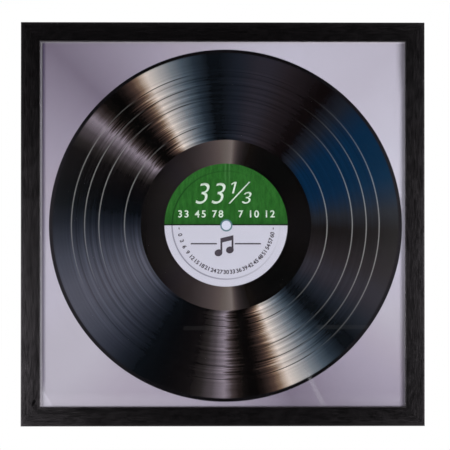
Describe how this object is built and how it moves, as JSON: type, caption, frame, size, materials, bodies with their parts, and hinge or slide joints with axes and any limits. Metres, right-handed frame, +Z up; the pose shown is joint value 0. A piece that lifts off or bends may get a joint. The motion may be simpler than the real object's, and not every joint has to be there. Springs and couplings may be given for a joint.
{
  "type": "vinyl record frame",
  "caption": "Square black picture frame with a mitred moulding, clear glazing, a printed disc insert, a back board held by turn buttons, and ring hangers.",
  "frame": {"origin": "middle of the bottom edge face, halfway through the moulding's depth", "axes": "+Z up, +X to the right seen from the front; the picture faces -Y and the wall is on the +Y side"},
  "size_m": [0.336, 0.0186, 0.336],
  "materials": {
    "black_moulding": "satin black paint film",
    "clear_glazing": "clear",
    "printed_paper": "matt print",
    "white_filler": "white paper face",
    "brown_fibreboard": "raw fibreboard",
    "zinc_steel": "bright zinc plate",
    "black_rubber": "matt"
  },
  "bodies": {
    "frame": {"top_rail": "black_moulding", "bottom_rail": "black_moulding", "left_rail": "black_moulding", "right_rail": "black_moulding", "corner_v_nails": "zinc_steel", "glazing_sheet": "clear_glazing", "printed_insert": "printed_paper", "filler_board": "white_filler", "back_board": "brown_fibreboard", "turn_button_screws": "zinc_steel", "hanger_plate_left": "zinc_steel", "hanger_plate_right": "zinc_steel", "hanger_rivets": "zinc_steel", "wall_bumper_left_upper": "black_rubber", "wall_bumper_left_lower": "black_rubber", "wall_bumper_right_upper": "black_rubber", "wall_bumper_right_lower": "black_rubber"},
    "turn_button_top_left": {"turn_button_top_left": "zinc_steel"},
    "turn_button_top_right": {"turn_button_top_right": "zinc_steel"},
    "turn_button_bottom_left": {"turn_button_bottom_left": "zinc_steel"},
    "turn_button_bottom_right": {"turn_button_bottom_right": "zinc_steel"},
    "turn_button_left_upper": {"turn_button_left_upper": "zinc_steel"},
    "turn_button_left_lower": {"turn_button_left_lower": "zinc_steel"},
    "turn_button_right_upper": {"turn_button_right_upper": "zinc_steel"},
    "turn_button_right_lower": {"turn_button_right_lower": "zinc_steel"},
    "hanger_ring_left": {"hanger_ring_left": "zinc_steel"},
    "hanger_ring_right": {"hanger_ring_right": "zinc_steel"}
  },
  "joints": [
    {"name": "turn_button_top_left_pivot", "type": "hinge", "parent": "frame", "child": "turn_button_top_left", "pos_m": [-0.085, 0.0075, 0.331], "axis": [0, 1, 0], "continuous": true},
    {"name": "turn_button_top_right_pivot", "type": "hinge", "parent": "frame", "child": "turn_button_top_right", "pos_m": [0.085, 0.0075, 0.331], "axis": [0, 1, 0], "continuous": true},
    {"name": "turn_button_bottom_left_pivot", "type": "hinge", "parent": "frame", "child": "turn_button_bottom_left", "pos_m": [-0.085, 0.0075, 0.005], "axis": [0, 1, 0], "continuous": true},
    {"name": "turn_button_bottom_right_pivot", "type": "hinge", "parent": "frame", "child": "turn_button_bottom_right", "pos_m": [0.085, 0.0075, 0.005], "axis": [0, 1, 0], "continuous": true},
    {"name": "turn_button_left_upper_pivot", "type": "hinge", "parent": "frame", "child": "turn_button_left_upper", "pos_m": [-0.163, 0.0075, 0.253], "axis": [0, 1, 0], "continuous": true},
    {"name": "turn_button_left_lower_pivot", "type": "hinge", "parent": "frame", "child": "turn_button_left_lower", "pos_m": [-0.163, 0.0075, 0.083], "axis": [0, 1, 0], "continuous": true},
    {"name": "turn_button_right_upper_pivot", "type": "hinge", "parent": "frame", "child": "turn_button_right_upper", "pos_m": [0.163, 0.0075, 0.253], "axis": [0, 1, 0], "continuous": true},
    {"name": "turn_button_right_lower_pivot", "type": "hinge", "parent": "frame", "child": "turn_button_right_lower", "pos_m": [0.163, 0.0075, 0.083], "axis": [0, 1, 0], "continuous": true},
    {"name": "hanger_ring_left_swing", "type": "hinge", "parent": "frame", "child": "hanger_ring_left", "pos_m": [-0.08, 0.00918, 0.276], "axis": [1, 0, 0], "range_deg": [0, 180]},
    {"name": "hanger_ring_right_swing", "type": "hinge", "parent": "frame", "child": "hanger_ring_right", "pos_m": [0.08, 0.00918, 0.276], "axis": [1, 0, 0], "range_deg": [0, 180]}
  ]
}
